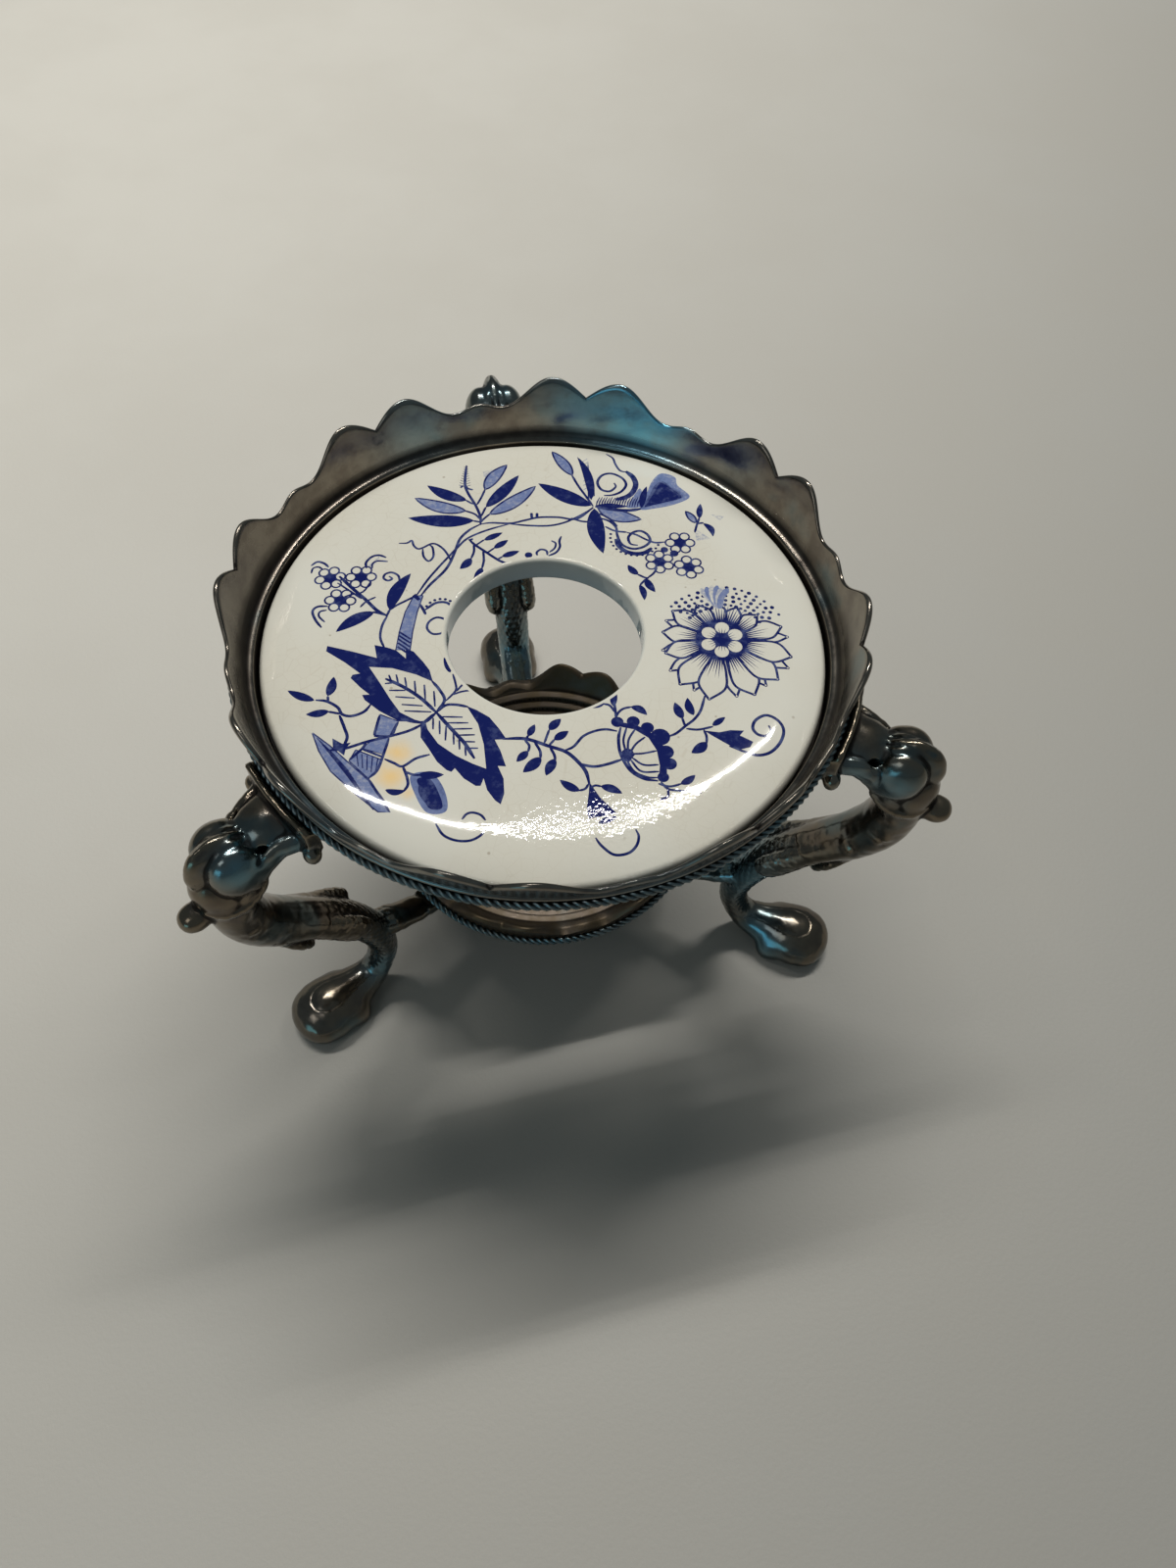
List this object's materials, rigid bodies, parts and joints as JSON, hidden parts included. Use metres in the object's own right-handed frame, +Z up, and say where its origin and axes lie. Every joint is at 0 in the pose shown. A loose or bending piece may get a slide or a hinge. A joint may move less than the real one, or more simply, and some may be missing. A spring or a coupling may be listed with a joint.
{
  "type": "food warmer",
  "caption": "Footed warmer stand: a scalloped metal collar on figure legs holds a loose porcelain disc with a hole, above a scalloped dish for a tealight.",
  "frame": {"origin": "on the stand's vertical axis, at table level", "axes": "+Z up along the axis of the collar, disc and dish; +X between the rear leg and the right leg, 20.7 degrees round from the right leg"},
  "size_m": [0.1499, 0.1485, 0.1048],
  "materials": {
    "porcelain": "glossy glaze",
    "cast_metal": "tarnished silver plate, glossy",
    "worn_metal": "tarnished silver plate, glossy",
    "screw_metal": "dull"
  },
  "bodies": {
    "stand": {"collar": "worn_metal", "collar_rope_ring": "cast_metal", "candle_dish": "worn_metal", "dish_rope_ring": "cast_metal", "leg_right": "cast_metal", "leg_rear": "cast_metal", "leg_left": "cast_metal", "collar_screw_right": "screw_metal", "collar_screw_rear": "screw_metal", "collar_screw_left": "screw_metal", "dish_screw_right": "screw_metal", "dish_screw_rear": "screw_metal", "dish_screw_left": "screw_metal"},
    "disc": {"porcelain_disc": "porcelain"}
  },
  "joints": [
    {"name": "disc_lift", "type": "slide", "parent": "stand", "child": "disc", "axis": [0, 0, 1], "range_m": [0, 0.03]}
  ]
}
